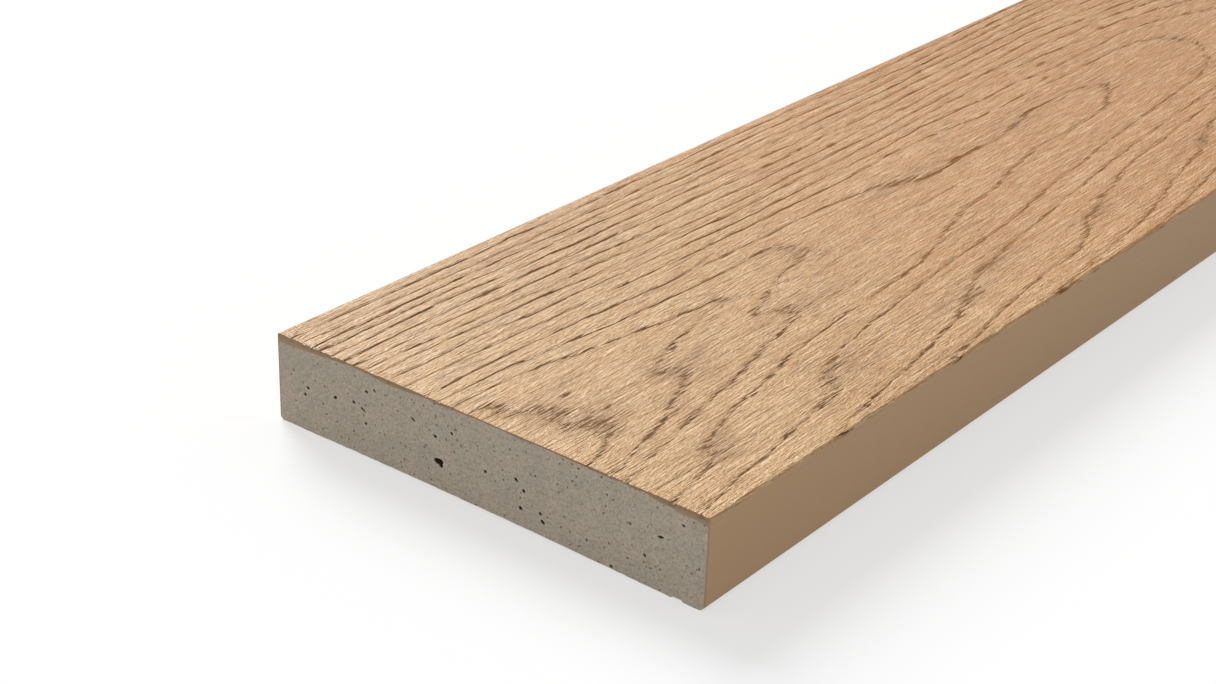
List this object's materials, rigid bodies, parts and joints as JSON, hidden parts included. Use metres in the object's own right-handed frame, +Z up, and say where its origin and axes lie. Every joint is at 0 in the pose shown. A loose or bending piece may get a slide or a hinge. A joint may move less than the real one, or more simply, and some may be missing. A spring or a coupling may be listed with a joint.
{
  "type": "composite decking board",
  "caption": "Flat rectangular composite decking board with a wood-grain wear skin over its top and long edges and a porous cast core.",
  "frame": {"origin": "middle of the board's underside, at the level that the board lies on", "axes": "+X along the board, away from the cut end that the picture shows; +Y across the board, away from the long edge that the picture shows; +Z up, out of the wood-grain face"},
  "size_m": [3.6, 0.176, 0.032],
  "materials": {
    "core": "sawn foamed mineral resin, matte, with open bubbles",
    "wear_skin": "moulded oak grain, matte"
  },
  "bodies": {
    "root": {"core": "core", "wear_skin": "wear_skin"}
  },
  "joints": []
}
